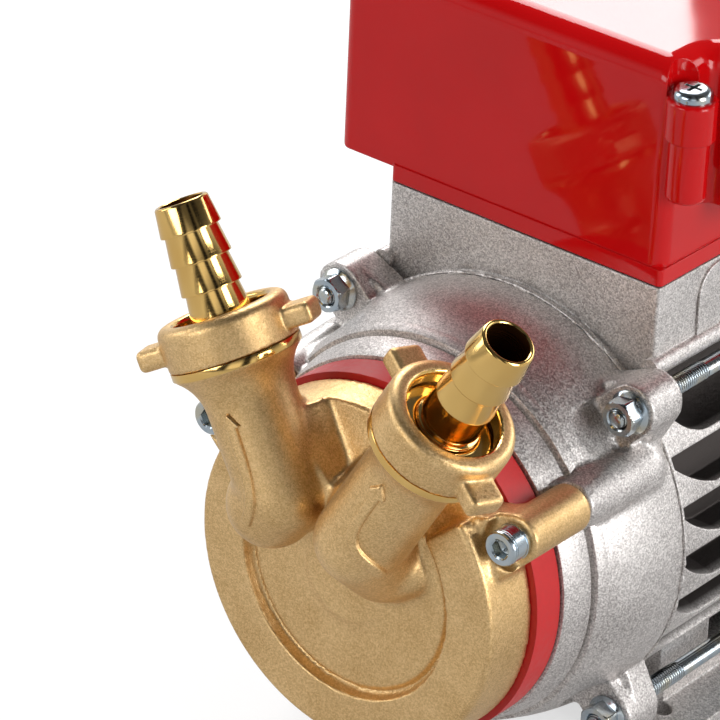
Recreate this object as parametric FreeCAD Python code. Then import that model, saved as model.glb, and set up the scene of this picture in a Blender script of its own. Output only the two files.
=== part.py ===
import FreeCAD, Part
import math
import os

V = FreeCAD.Vector

# Oil transfer pump: brass pump head on the front of a finned aluminium motor.
# Working frame: the motor shaft lies on the Y axis, the pump faces -Y, the back
# face of the brass head is at y = 0, and X is to the right seen from the front.
# Everything is moved into the part's frame when it is written: origin in the
# middle of the four base holes, on the face that the feet stand on.
# Heights ending in _t are measured along a port's own axis, from the shaft axis.

# Base and axis
axis_height = 75.0
base_hole_x = 100.0
base_hole_y = 80.0
base_hole_r = 3.5
base_middle_y = 114.0

# Clearances
fit_gap = 0.15
seat_gap = 0.1
overlap = 1.0

# Brass pump head
head_back_r = 54.4
head_front_r = 53.0
head_thick = 17.7
head_edge_round = 1.2
plateau_r = 35.0
plateau_drop = 2.2
groove_wide = 2.4
groove_deep = 4.0
groove_draft = 0.6
centre_pad_r = 15.0
centre_pad_high = 0.8

# Sloped ground of the fork between the ports
fork_half_angle = 49.5
fork_apex_y = -16.0
fork_apex_z = 36.0
fork_ridge_angle = 22.0
fork_ridge_y = -5.0
fork_side_angle = 40.0
fork_side_y = -7.0

# Screw lugs of the head, and the bosses behind them
lug_angles = {"right": 30.0, "left": 150.0, "bottom": 270.0}
lug_pitch_r = 61.5
lug_r = 7.25
lug_front_y = -8.6
lug_back_y = 16.6
lug_spot_r = 8.2
shoulder_front_y = -12.6
shoulder_r = 13.0
shoulder_pitch_r = 39.0

# The two ports, in a V in front of the head
port_tilt_right = 30.2
port_tilt_left = 29.2
port_lean = 0.8
port_plane_y = -27.0
port_tube_r = 13.3
port_bore_r = 7.5
right_bend_t = 26.0
left_bend_t = 31.0
elbow_toe_r = 7.25
# The elbows are drawn round balls, given as (x, y, z, radius) from the tube's end to the plateau
right_elbow = ((13.0, -15.5, 12.0, port_tube_r), (23.0, -14.0, 11.0, elbow_toe_r))
left_elbow = ((-20.2, -25.5, 20.5, port_tube_r), (-18.0, -14.0, 18.5, 10.0), (-23.0, -14.0, 11.0, elbow_toe_r))
neck_low_t = 58.0
neck_top_t = 69.6
neck_top_r = 18.5
neck_hollow = 1.5
collar_low_t = 70.15
collar_r = 19.2
ring_top_t = 72.6
thread_r = 16.2
thread_long = 3.5

# Union nuts
nut_r = 19.3
nut_high = 12.7
nut_lip = 5.5
nut_opening_r = 14.0
nut_edge_round = 2.8
nut_lip_chamfer = 0.8
wing_wide = 11.0
wing_thick = 6.4
wing_reach = 27.0
wing_drop = 4.5
wing_round = 1.6
nut_turns = {"left": 26.7, "right": -17.2}

# Hose tails
tail_top_t = 117.6
tail_crest_r = 8.95
tail_root_r = 7.85
tail_tip_r = 7.9
tail_tip_chamfer = 0.6
tail_bore_r = 6.5
tail_barb_pitch = 8.65
tail_barbs = 4
tail_collar_r = 13.7
tail_collar_high = 0.6
tail_flare_r = 11.6
tail_flare_hollow = 1.2
tail_flange_r = 15.9

# Red ring between head and bracket
ring_outer_r = 56.1
ring_inner_r = 46.3
ring_deep = 10.4

# Front bracket
bracket_front_y = 11.2
bracket_front_r = 57.0
bracket_step_y = 20.7
bracket_step_r = 59.4
bracket_groove_wide = 1.3
bracket_groove_deep = 1.1
bracket_body_r = 60.6
bracket_crown = 1.4
bracket_rim_long = 6.0
bracket_rear_r = 66.0
bracket_back_y = 56.0
boss_end_r = 8.8
boss_end_y = 46.0
lug_recess_gap = 0.4
head_screw_deep = 14.0

# Tie rods, their nuts and lobes
rod_x = 53.3
rod_z = 50.7
rod_r = 2.95
rod_hole_r = 3.2
rod_front_y = 35.1
lobe_r = 8.2
lobe_front_y = 42.0
lobe_root_r = 17.0
lobe_root_pitch_r = 46.0
lobe_web_front_y = 46.5
lobe_pad_in = 10.5
nut_across = 10.0
nut_flange_r = 6.6
nut_flange_high = 1.6
nut_body_high = 6.0
rod_end_long = 2.5

# Cap screws that hold the head
cap_washer_r = 6.0
cap_washer_thick = 1.4
cap_head_r = 5.1
cap_head_high = 6.0
cap_socket_across = 5.0
cap_socket_deep = 3.0

# Motor casing
casing_long = 116.0
casing_r = 66.0
fin_count = 27
fin_first_angle = 61.4
pocket_floor_r = 56.0
pocket_tip_wide = 13.6
pocket_root_wide = 10.4
pocket_mouth_wide = 3.8
pocket_front_gap = 0.8
pocket_rear_gap = 5.0
pocket_nose_long = 16.3
pocket_nose_fullness = 0.47
pocket_top_angle = 54.0
trough_r = 18.0
trough_front_gap = 3.5
rod_room = 1.6

# Terminal box on the casing
box_half_x = 48.9
box_front_y = 58.0
box_long_y = 92.0
box_top_z = 81.7
box_root_z = 38.0
box_corner_r = 1.5
ledge_r = 3.0
ledge_z = 54.0
panel_front_y = 77.0
panel_back_y = 133.0
panel_low_z = 60.0
panel_high_z = 76.0
panel_deep = 0.6
panel_corner_r = 5.0
gasket_thick = 0.6
gasket_inset = 1.0

# Red cover of the terminal box
cover_skirt_high = 4.2
cover_half_x = 69.6
cover_top_z = 150.0
cover_corner_r = 7.0
cover_set_back = 0.6
cover_upright_r = 4.5
cover_left_round = 3.2
cover_side_notch_y = 19.5
cover_right_bottom_z = 102.7
column_out_x = 2.4
column_in_y = 5.4
column_top_r = 7.25
column_top_z = 140.3
column_mid_z = 128.3
column_low_r = 5.8
column_end_round = 1.5
column_top_round = 1.1
column_low_z = 109.3
cover_screw_r = 2.4
cover_screw_long = 17.0
cover_screw_head_r = 5.7
cover_screw_head_high = 3.2
cover_screw_round = 2.0
cover_screw_slot = 1.2
cover_screw_slot_deep = 1.8

# Rear shield, fan and cowl
shield_thick = 12.0
shield_edge = 4.0
cowl_r = 63.0
cowl_long = 44.0
cowl_wall = 2.0
cowl_slope = 6.0
cowl_spigot_long = 8.0
cowl_spigot_wall = 6.0
cowl_screw_r = 2.0
cowl_screw_long = 6.5
cowl_screw_head_r = 3.8
cowl_screw_head_high = 2.1
cowl_screw_angles = (60.0, 120.0, 240.0, 300.0)
cowl_slot_pitch = 10.0
cowl_slot_wide = 5.0
cowl_slot_rows = 4
cowl_slot_r = 48.0
cowl_slot_bridge = 6.0
fan_r = 52.0
fan_blades = 9
fan_blade_thick = 2.0
fan_disc_thick = 2.5
fan_hub_r = 14.0
fan_air_gap = 12.0
fan_seat_gap = 2.0
shaft_r = 9.0
shaft_end_gap = 14.0

# Cable gland at the back of the terminal box
gland_x = -34.0
gland_z = 69.8
gland_across = 19.0
gland_cap_across = 17.0
gland_base_long = 5.0
gland_neck_r = 8.2
gland_neck_long = 2.5
gland_cap_long = 9.0
gland_dome_r = 5.5
gland_dome_long = 4.0
gland_bore_r = 3.8

# Switch on the left side of the cover
switch_y = 96.0
switch_z = 118.0
bezel_half_y = 12.0
bezel_half_z = 16.0
bezel_thick = 3.0
rocker_half_y = 8.4
rocker_half_z = 12.4
rocker_thick = 4.5
rocker_dish = 1.6

# Feet
pad_inner_x = 33.0
pad_outer_x = 48.5
pad_bottom_z = -58.0
pad_top_z = -40.0
pad_half_y = 12.0
foot_outer_x = 62.0
foot_long = 100.0
foot_shoulder_z = -64.0
foot_base_thick = 8.0
foot_edge = 3.0
foot_screw_x = 40.5
foot_screw_half_y = 28.0
foot_screw_r = 3.0
foot_screw_head_r = 5.0
foot_screw_sink = 7.0
foot_screw_deep = 9.0
foot_sink_gap = 0.6
foot_head_inset = 1.0

# Worked out from the sizes above
casing_front_y = bracket_back_y
casing_back_y = casing_front_y + casing_long
shield_back_y = casing_back_y + shield_thick
rod_back_y = shield_back_y + nut_flange_high + nut_body_high + rod_end_long
box_back_y = box_front_y + box_long_y
foot_bottom_z = -axis_height
cowl_back_y = shield_back_y + cowl_long
spigot_r = ring_inner_r - fit_gap
port_tilts = {1: port_tilt_right, -1: port_tilt_left}
bend_heights = {1: right_bend_t, -1: left_bend_t}
elbows = {1: right_elbow, -1: left_elbow}
far = 4 * casing_long


def turned(points, axis="y"):
    """Solid of revolution about the Y or Z axis from (radius, along) points.

    An entry of four numbers is an arc: a point on the way, then its end.
    """
    def place(r, a):
        return V(r, a, 0) if axis == "y" else V(r, 0, a)

    edges = []
    at = place(*points[0])
    for point in points[1:] + points[:1]:
        end = place(*point[-2:])
        if len(point) == 4:
            edges.append(Part.Arc(at, place(*point[:2]), end).toShape())
        else:
            edges.append(Part.makeLine(at, end))
        at = end
    direction = V(0, 1, 0) if axis == "y" else V(0, 0, 1)
    return Part.Face(Part.Wire(edges)).revolve(V(0, 0, 0), direction, 360)


def rim_corner(r, a, size, up):
    """Rounded corner from a wall at radius r onto a face at a; up is 1 or -1."""
    inset = size * (1 - math.sqrt(0.5))
    return [(r, a - up * size), (r - inset, a - up * inset, r - size, a)]


def rod_y(radius, start, end, x=0.0, z=0.0):
    """Cylinder along Y from start to end."""
    return Part.makeCylinder(radius, end - start, V(x, start, z), V(0, 1, 0))


def block(x0, x1, y0, y1, z0, z1):
    return Part.makeBox(x1 - x0, y1 - y0, z1 - z0, V(x0, y0, z0))


def prism_y(points, start, end):
    """Prism along Y from a closed outline of (x, z) points."""
    corners = [V(x, start, z) for x, z in points]
    face = Part.Face(Part.makePolygon(corners + corners[:1]))
    return face.extrude(V(0, end - start, 0))


def polar(radius, angle):
    """Point (x, z) at an angle in degrees, counted from +X towards +Z."""
    a = math.radians(angle)
    return radius * math.cos(a), radius * math.sin(a)


def link_y(p, rp, q, rq, start, end):
    """Straight-sided link along Y round two circles with centres (x, z)."""
    along = math.degrees(math.atan2(q[1] - p[1], q[0] - p[0]))
    spread = math.degrees(math.acos((rp - rq) / math.hypot(q[0] - p[0], q[1] - p[1])))
    corners = []
    for middle, r, turn in ((p, rp, spread), (q, rq, spread), (q, rq, -spread), (p, rp, -spread)):
        x, z = polar(r, along + turn)
        corners.append((middle[0] + x, middle[1] + z))
    ends = [rod_y(rp, start, end, *p), rod_y(rq, start, end, *q)]
    return prism_y(corners, start, end).fuse(ends)


def hexagon(across, start, length, x=0.0, z=0.0):
    """Hexagonal prism along Y, flats apart by across."""
    points = []
    for k in range(6):
        dx, dz = polar(across / math.sqrt(3), 60 * k)
        points.append((x + dx, z + dz))
    return prism_y(points, start, start + length)


def tapered_bar(p1, r1, p2, r2):
    """Two balls and the cone that touches both."""
    along = p2.sub(p1)
    distance = along.Length
    along.normalize()
    lean = (r1 - r2) / distance
    flat = math.sqrt(1 - lean * lean)
    c1 = p1 + along * (r1 * lean)
    c2 = p2 + along * (r2 * lean)
    if r1 == r2:
        middle = Part.makeCylinder(r1, distance, c1, along)
    else:
        middle = Part.makeCone(r1 * flat, r2 * flat, c2.sub(c1).Length, c1, along)
    return middle.fuse([Part.makeSphere(r1, p1), Part.makeSphere(r2, p2)])


def edges_where(shape, test):
    return [e for e in shape.Edges if test(e)]


def is_upright(edge):
    """True for a straight edge along Z."""
    if not isinstance(edge.Curve, Part.Line):
        return False
    return abs(edge.tangentAt(edge.FirstParameter).z) > 0.999


def rounded_block(x0, x1, y0, y1, z0, z1, radius):
    """Block with its four upright edges rounded."""
    shape = block(x0, x1, y0, y1, z0, z1)
    return shape.makeFillet(radius, edges_where(shape, is_upright))


def at_port(shape, side):
    """Moves a shape built about +Z onto a port's axis; side is 1 right, -1 left."""
    shape = shape.copy()
    shape.rotate(V(0, 0, 0), V(1, 0, 0), -port_lean)
    shape.rotate(V(0, 0, 0), V(0, 1, 0), side * port_tilts[side])
    shape.translate(V(0, port_plane_y, 0))
    return shape


def save(name, shape):
    """Writes one piece, moved into the part's frame."""
    shape = shape.removeSplitter()
    shape.translate(V(0, -base_middle_y, axis_height))
    solids = len(shape.Solids)
    print(name, "solids", solids, "volume", round(shape.Volume), "valid", shape.isValid())
    shape.exportStep("parts/" + name + ".step")


def lug_places():
    return [polar(lug_pitch_r, angle) for angle in lug_angles.values()]


def rod_places():
    return [(sx * rod_x, sz * rod_z) for sx in (1, -1) for sz in (1, -1)]


def head_disc():
    front = -head_thick
    plateau = front + plateau_drop
    groove_out = plateau_r + groove_wide
    disc = turned([(0, 0), (head_back_r, 0)] + rim_corner(head_front_r, front, head_edge_round, -1) + [
        (groove_out, front), (groove_out, plateau), (centre_pad_r, plateau),
        (centre_pad_r - groove_draft, plateau - centre_pad_high), (0, plateau - centre_pad_high),
    ])
    groove = turned([(plateau_r, front - overlap), (groove_out, front - overlap), (groove_out, front),
                     (groove_out - groove_draft, front + groove_deep), (plateau_r, front + groove_deep)])
    return disc.cut(groove.cut(fork_sector())).cut(fork_cutters())


def fork_sector():
    fork = [(0, 0), polar(far, 90 - fork_half_angle), polar(far, 90 + fork_half_angle)]
    return prism_y(fork, -far, overlap)


def fork_cutters():
    """Room in front of the three sloped facets between and under the ports."""
    sector = fork_sector()
    apex = V(0, fork_apex_y, fork_apex_z)
    ridge = [polar(head_front_r, 90 - side * fork_ridge_angle) for side in (1, -1)]
    ridge = [V(x, fork_ridge_y, z) for x, z in ridge]
    rooms = [room_in_front(sector, apex, ridge[0], ridge[1])]
    for side, start in ((1, ridge[0]), (-1, ridge[1])):
        x, z = polar(head_front_r, 90 - side * fork_side_angle)
        rooms.append(room_in_front(sector, apex, start, V(x, fork_side_y, z)))
    return rooms


def room_in_front(sector, a, b, c):
    """The part of a sector in front of the plane through three points."""
    normal = b.sub(a).cross(c.sub(a))
    normal.normalize()
    if normal.y > 0:
        normal = normal * -1
    return sector.common(Part.makeCylinder(far, far, a, normal))


def port(side):
    """One port: tube with its neck, collar and thread, and the elbow down to the plateau."""
    waist_r = (port_tube_r + neck_top_r) / 2 - neck_hollow
    waist_t = (neck_low_t + neck_top_t) / 2
    bend_t = bend_heights[side]
    tube = turned([
        (0, bend_t), (port_tube_r, bend_t), (port_tube_r, neck_low_t),
        (waist_r, waist_t, neck_top_r, neck_top_t), (collar_r, collar_low_t),
        (collar_r, ring_top_t), (thread_r, ring_top_t), (thread_r, ring_top_t + thread_long),
        (0, ring_top_t + thread_long),
    ], axis="z")
    bend = at_port(Part.Vertex(0, 0, bend_t), side).Point
    balls = [(bend, port_tube_r + overlap / 50)]
    balls += [(V(x, y, z), radius) for x, y, z, radius in elbows[side]]
    bars = [tapered_bar(*start, *end) for start, end in zip(balls, balls[1:])]
    return at_port(tube, side).fuse(bars)


def pump_head():
    body = head_disc()
    for place in lug_places():
        root = (place[0] * shoulder_pitch_r / lug_pitch_r, place[1] * shoulder_pitch_r / lug_pitch_r)
        shoulder = link_y(root, shoulder_r, place, lug_r, shoulder_front_y, 0)
        lug = rod_y(lug_r, lug_front_y, lug_back_y, *place)
        shoulder = shoulder.cut(rod_y(lug_spot_r, shoulder_front_y - overlap, lug_front_y, *place))
        body = body.fuse([shoulder, lug])
    for side in (1, -1):
        body = body.fuse(port(side))
    bore_top = ring_top_t + thread_long + overlap
    cuts = []
    for side, bend_t in bend_heights.items():
        bore = Part.makeCylinder(port_bore_r, bore_top - bend_t, V(0, 0, bend_t))
        cuts.append(at_port(bore, side))
    for place in lug_places():
        cuts.append(rod_y(rod_hole_r, lug_front_y - overlap, lug_back_y + overlap, *place))
    return body.cut(cuts)


def union_nut(side, turn):
    low = ring_top_t + seat_gap
    top = low + nut_high
    lip_low = top - nut_lip
    body = turned([(0, low), (nut_r, low)] + rim_corner(nut_r, top, nut_edge_round, 1) + [(0, top)], "z")
    for half_turn in (0, 180):
        wing = Part.makeBox(wing_reach, wing_wide, wing_thick,
                            V(0, -wing_wide / 2, top - wing_drop - wing_thick))
        outer = edges_where(wing, lambda e: max(v.X for v in e.Vertexes) > wing_reach - seat_gap)
        wing = wing.makeFillet(wing_round, outer)
        wing.rotate(V(0, 0, 0), V(0, 0, 1), turn + half_turn)
        body = body.fuse(wing)
    thread_room = thread_r + fit_gap
    inside = turned([
        (0, low - overlap), (thread_room, low - overlap), (thread_room, lip_low),
        (nut_opening_r, lip_low), (nut_opening_r, top - nut_lip_chamfer),
        (nut_opening_r + nut_lip_chamfer, top), (nut_opening_r + nut_lip_chamfer, top + overlap),
        (0, top + overlap)], "z")
    return at_port(body.cut(inside), side)


def hose_tail(side):
    flange_low = ring_top_t + thread_long
    lip_low = ring_top_t + seat_gap + nut_high - nut_lip
    flange_top = lip_low - seat_gap
    collar_top = lip_low + tail_collar_high
    barbs_low = tail_top_t - tail_barbs * tail_barb_pitch
    flare_r = (tail_flare_r + tail_root_r) / 2 - tail_flare_hollow / 2
    flare_t = (collar_top + barbs_low) / 2 - tail_flare_hollow / 2
    points = [(tail_bore_r, flange_low), (tail_flange_r, flange_low), (tail_flange_r, flange_top),
              (tail_collar_r, flange_top), (tail_collar_r, collar_top), (tail_flare_r, collar_top),
              (flare_r, flare_t, tail_root_r, barbs_low)]
    for k in range(tail_barbs):
        low = barbs_low + k * tail_barb_pitch
        points.append((tail_crest_r, low))
        if k < tail_barbs - 1:
            points.append((tail_root_r, low + tail_barb_pitch))
    points += [(tail_tip_r, tail_top_t - tail_tip_chamfer), (tail_tip_r - tail_tip_chamfer, tail_top_t),
               (tail_bore_r, tail_top_t)]
    return at_port(turned(points, axis="z"), side)


def red_ring():
    ring = turned([(ring_inner_r, 0), (ring_outer_r, 0), (ring_outer_r, ring_deep),
                   (ring_inner_r, ring_deep)])
    rooms = [rod_y(lug_r + lug_recess_gap, -overlap, ring_deep + overlap, *place) for place in lug_places()]
    return ring.cut(rooms)


def lobes(front, back, web_front):
    """Four tie-rod lobes and the webs that join them to a round body."""
    shapes = []
    for x, z in rod_places():
        share = lobe_root_pitch_r / math.hypot(x, z)
        shapes.append(rod_y(lobe_r, front, back, x, z))
        shapes.append(nut_pad(x, z, front, back))
        shapes.append(link_y((x * share, z * share), lobe_root_r, (x, z), lobe_r, web_front, back))
    return shapes


def nut_pad(x, z, front, back):
    """Square-cornered pad from a lobe inwards, as wide as the lobe."""
    pitch_r = math.hypot(x, z)
    out_x, out_z = x / pitch_r, z / pitch_r
    corners = []
    for inward, across in ((0, 1), (lobe_pad_in, 1), (lobe_pad_in, -1), (0, -1)):
        corners.append((x - out_x * inward - out_z * across * lobe_r,
                        z - out_z * inward + out_x * across * lobe_r))
    return prism_y(corners, front, back)


def rod_holes(front, back):
    return [rod_y(rod_hole_r, front, back, x, z) for x, z in rod_places()]


def front_bracket():
    groove_back = bracket_step_y + bracket_groove_wide
    rim_front = bracket_back_y - bracket_rim_long
    crown_r = (bracket_body_r + bracket_rear_r) / 2 + bracket_crown
    crown_y = (groove_back + rim_front) / 2
    body = turned([
        (0, 0), (spigot_r, 0), (spigot_r, bracket_front_y), (bracket_front_r, bracket_front_y),
        (bracket_step_r, bracket_step_y), (bracket_step_r - bracket_groove_deep, bracket_step_y),
        (bracket_step_r - bracket_groove_deep, groove_back), (bracket_body_r, groove_back),
        (crown_r, crown_y, bracket_rear_r, rim_front), (bracket_rear_r, bracket_back_y),
        (0, bracket_back_y)])
    pieces = lobes(lobe_front_y, bracket_back_y, lobe_web_front_y)
    for x, z in lug_places():
        boss = tapered_bar(V(x, lug_back_y, z), lug_r, V(x, boss_end_y, z), boss_end_r)
        pieces.append(boss.cut(rod_y(2 * lug_r, lug_back_y - 2 * lug_r, lug_back_y, x, z)))
    body = body.fuse(pieces)
    cuts = rod_holes(lobe_front_y - overlap, bracket_back_y + overlap)
    cuts += [nut_pad(x, z, bracket_step_y, lobe_front_y) for x, z in rod_places()]
    for place in lug_places():
        cuts.append(rod_y(lug_r + lug_recess_gap, bracket_front_y - overlap, lug_back_y, *place))
        cuts.append(rod_y(rod_r + fit_gap, lug_back_y - overlap, lug_back_y + head_screw_deep + overlap, *place))
    return body.cut(cuts)


def head_screw(angle):
    x, z = polar(lug_pitch_r, angle)
    seat = lug_front_y - cap_washer_thick
    top = seat - cap_head_high
    washer = rod_y(cap_washer_r, seat, lug_front_y, x, z)
    head = rod_y(cap_head_r, top, seat, x, z)
    socket = hexagon(cap_socket_across, top - overlap, cap_socket_deep + overlap, x, z)
    shank = rod_y(rod_r, seat, lug_back_y + head_screw_deep, x, z)
    return head.fuse([washer, shank]).cut(socket)


def tie_rod(x, z):
    return rod_y(rod_r, rod_front_y, rod_back_y, x, z)


def flange_nut(x, z, seat, outward):
    """Flanged nut; seat is the face it sits on, outward -1 faces the front."""
    flange_end = seat + outward * nut_flange_high
    body_end = flange_end + outward * nut_body_high
    flange = rod_y(nut_flange_r, min(seat, flange_end), max(seat, flange_end), x, z)
    body = hexagon(nut_across, min(flange_end, body_end), nut_body_high, x, z)
    nut = flange.fuse(body)
    box = nut.BoundBox
    return nut.cut(rod_y(rod_r + seat_gap / 5, box.YMin - overlap, box.YMax + overlap, x, z))


def pocket_outline(wide, radius):
    """Outline of one cooling pocket on a plane at a radius: pointed mouth, straight back."""
    front = casing_front_y + pocket_front_gap
    back = casing_back_y - pocket_rear_gap
    half = wide / 2
    mouth = pocket_mouth_wide * wide / pocket_tip_wide
    corner = V(-half, front, radius)
    lip = V(mouth - half, front, radius)
    nose = V(half * pocket_nose_fullness, front + pocket_nose_long / 2, radius)
    side = V(half, front + pocket_nose_long, radius)
    far_side = V(half, back, radius)
    far_corner = V(-half, back, radius)
    return Part.Wire([
        Part.makeLine(corner, lip), Part.Arc(lip, nose, side).toShape(), Part.makeLine(side, far_side),
        Part.makeLine(far_side, far_corner), Part.makeLine(far_corner, corner)])


def cooling_pockets():
    """Pockets between the fins, all round but for the terminal box."""
    root = pocket_outline(pocket_root_wide, pocket_floor_r)
    tip = pocket_outline(pocket_tip_wide, casing_r + overlap)
    pocket = Part.makeLoft([root, tip], True, True)
    pitch = 360.0 / fin_count
    half_pocket = math.degrees(pocket_tip_wide / 2 / casing_r)
    pockets = []
    for k in range(fin_count):
        angle = fin_first_angle + half_pocket + k * pitch
        from_top = abs((angle + 180) % 360 - 180)
        if from_top < pocket_top_angle:
            continue
        cutter = pocket.copy()
        cutter.rotate(V(0, 0, 0), V(0, 1, 0), angle)
        pockets.append(cutter)
    return pockets


def rod_trough(side):
    """Hollow beside the terminal box that the upper tie rod runs in."""
    x, z = side * rod_x, rod_z
    nose_y = casing_front_y + trough_front_gap + trough_r
    back = casing_back_y - pocket_rear_gap
    trough = rod_y(trough_r, nose_y, back, x, z).fuse(Part.makeSphere(trough_r, V(x, nose_y, z)))
    return trough.cut(block(-far, far, -far, far, ledge_z, far))


def terminal_box():
    box = rounded_block(-box_half_x, box_half_x, box_front_y, box_back_y, 0, box_top_z, box_corner_r)
    box = box.cut(block(-far, far, -far, far, -overlap, box_root_z))
    panel = block(box_half_x - panel_deep, box_half_x + overlap, panel_front_y, panel_back_y,
                  panel_low_z, panel_high_z)
    corners = edges_where(panel, lambda e: abs(e.tangentAt(e.FirstParameter).x) > 0.999)
    return box.cut(panel.makeFillet(panel_corner_r, corners))


def motor_casing():
    body = rod_y(casing_r, casing_front_y, casing_back_y)
    body = body.cut(cooling_pockets())
    pieces = [terminal_box()]
    for side in (1, -1):
        pieces.append(rod_y(ledge_r, box_front_y + box_corner_r, box_back_y - box_corner_r,
                            side * box_half_x, ledge_z + ledge_r))
        x0, x1 = sorted((side * pad_inner_x, side * pad_outer_x))
        for y in foot_screw_ys():
            pieces.append(block(x0, x1, y - pad_half_y, y + pad_half_y, pad_bottom_z, pad_top_z))
    body = body.fuse(pieces)
    cuts = [rod_y(rod_r + rod_room, casing_front_y - overlap, casing_back_y + overlap, x, z)
            for x, z in rod_places()]
    cuts += [rod_trough(1), rod_trough(-1)]
    for side in (1, -1):
        for y in foot_screw_ys():
            low = V(side * foot_screw_x, y, pad_bottom_z - overlap)
            cuts.append(Part.makeCylinder(foot_screw_r + fit_gap, foot_screw_deep + 2 * overlap, low))
    return body.cut(cuts)


def cowl_screw_hole(angle):
    """Radial hole for a cowl screw, through the cowl and into the shield's spigot."""
    middle = V(cowl_r - cowl_screw_long - seat_gap, shield_back_y + cowl_spigot_long / 2, 0)
    hole = Part.makeCylinder(cowl_screw_r + fit_gap, cowl_screw_long + 2 * overlap, middle, V(1, 0, 0))
    hole.rotate(V(0, 0, 0), V(0, 1, 0), -angle)
    return hole


def cowl_screw(angle):
    y = shield_back_y + cowl_spigot_long / 2
    head = Part.makeCylinder(cowl_screw_head_r, cowl_screw_head_high + seat_gap, V(cowl_r - seat_gap, y, 0),
                             V(1, 0, 0))
    head = head.cut(rod_y(cowl_r, y - 2 * cowl_screw_head_r, y + 2 * cowl_screw_head_r))
    shank = Part.makeCylinder(cowl_screw_r, cowl_screw_long, V(cowl_r - cowl_screw_long, y, 0), V(1, 0, 0))
    screw = head.fuse(shank)
    screw.rotate(V(0, 0, 0), V(0, 1, 0), -angle)
    return screw


def rear_shield():
    body = turned([(0, casing_back_y), (casing_r, casing_back_y), (casing_r, shield_back_y - shield_edge),
                   (casing_r - shield_edge + overlap, shield_back_y), (0, shield_back_y)])
    body = body.fuse(lobes(casing_back_y, shield_back_y, casing_back_y))
    spigot_out = cowl_r - cowl_wall - fit_gap
    spigot_end = shield_back_y + cowl_spigot_long
    spigot = rod_y(spigot_out, shield_back_y - overlap, spigot_end)
    spigot = spigot.cut(rod_y(spigot_out - cowl_spigot_wall, shield_back_y, spigot_end + overlap))
    cuts = rod_holes(casing_back_y - overlap, shield_back_y + overlap)
    cuts += [cowl_screw_hole(angle) for angle in cowl_screw_angles]
    cuts.append(rod_y(shaft_r + fit_gap, casing_back_y + fan_seat_gap, shield_back_y + overlap))
    return body.fuse(spigot).cut(cuts)


def motor_shaft():
    return rod_y(shaft_r, casing_back_y + fan_seat_gap, cowl_back_y - shaft_end_gap)


def fan():
    low = shield_back_y + cowl_spigot_long + fan_seat_gap
    high = cowl_back_y - fan_air_gap
    pieces = [rod_y(fan_r, low, low + fan_disc_thick)]
    for k in range(fan_blades):
        blade = block(fan_hub_r - fan_blade_thick, fan_r, low, high, -fan_blade_thick / 2, fan_blade_thick / 2)
        blade.rotate(V(0, 0, 0), V(0, 1, 0), 360.0 * k / fan_blades)
        pieces.append(blade)
    body = rod_y(fan_hub_r, low, high).fuse(pieces)
    return body.cut(rod_y(shaft_r + seat_gap / 5, low - overlap, high + overlap))


def fan_cover():
    low, high = shield_back_y, cowl_back_y
    slope = cowl_slope
    outer = turned([(0, low), (cowl_r, low), (cowl_r, high - slope), (cowl_r - slope, high), (0, high)])
    inner_r = cowl_r - cowl_wall
    inner = turned([(0, low - overlap), (inner_r, low - overlap), (inner_r, high - slope - cowl_wall / 2),
                    (inner_r - slope + cowl_wall / 2, high - cowl_wall), (0, high - cowl_wall)])
    body = outer.cut(inner)
    cuts = [cowl_screw_hole(angle) for angle in cowl_screw_angles]
    for k in range(-cowl_slot_rows, cowl_slot_rows + 1):
        x = k * cowl_slot_pitch
        tall = math.sqrt(cowl_slot_r ** 2 - x * x)
        for low_z, high_z in ((cowl_slot_bridge / 2, tall), (-tall, -cowl_slot_bridge / 2)):
            cuts.append(block(x - cowl_slot_wide / 2, x + cowl_slot_wide / 2, high - cowl_wall - overlap,
                              high + overlap, low_z, high_z))
    return body.cut(cuts)


def column_places():
    x = box_half_x + column_out_x
    return (x, box_front_y + column_in_y), (-x, box_back_y - column_in_y)


def terminal_cover():
    low = box_top_z + gasket_thick
    skirt_top = low + cover_skirt_high
    y0, y1 = box_front_y, box_back_y
    back = cover_set_back
    body = block(-cover_half_x, box_half_x - back, y0 + back, y1 - back, skirt_top, cover_top_z)
    body = body.fuse(block(box_half_x - 2 * back, cover_half_x, y0 + cover_side_notch_y, y1 - back,
                           cover_right_bottom_z, cover_top_z))
    body = body.cut(block(-cover_half_x - overlap, -box_half_x + back, y1 - cover_side_notch_y, y1 + overlap,
                          low, cover_top_z + overlap))
    body = body.removeSplitter()
    body = body.makeFillet(cover_upright_r, edges_where(body, is_upright))
    r = cover_left_round
    corner = block(-cover_half_x - overlap, -cover_half_x + r, y0, y1, skirt_top - overlap, skirt_top + r)
    body = body.cut(corner.cut(rod_y(r, y0 - overlap, y1 + overlap, -cover_half_x + r, skirt_top + r)))
    skirt = rounded_block(-box_half_x, box_half_x, y0, y1, low, skirt_top + overlap, box_corner_r)
    body = body.fuse(skirt)
    top = edges_where(body, lambda e: all(abs(v.Z - cover_top_z) < seat_gap for v in e.Vertexes))
    body = body.makeFillet(cover_corner_r, top)
    for x, y in column_places():
        upper = Part.makeCylinder(column_top_r, column_top_z - column_mid_z, V(x, y, column_mid_z))
        rim = edges_where(upper, lambda e: min(v.Z for v in e.Vertexes) > column_top_z - seat_gap)
        upper = upper.makeFillet(column_top_round, rim)
        lower = Part.makeCylinder(column_low_r, column_mid_z - column_low_z + overlap, V(x, y, column_low_z))
        end = edges_where(lower, lambda e: max(v.Z for v in e.Vertexes) < column_low_z + seat_gap)
        lower = lower.makeFillet(column_end_round, end)
        room = Part.makeCylinder(column_top_r, cover_top_z, V(x, y, column_top_z))
        hole_low = V(x, y, column_top_z - cover_screw_long - overlap)
        hole = Part.makeCylinder(cover_screw_r + seat_gap, cover_screw_long + 2 * overlap, hole_low)
        body = body.fuse([upper, lower]).cut([room, hole])
    return body


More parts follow.
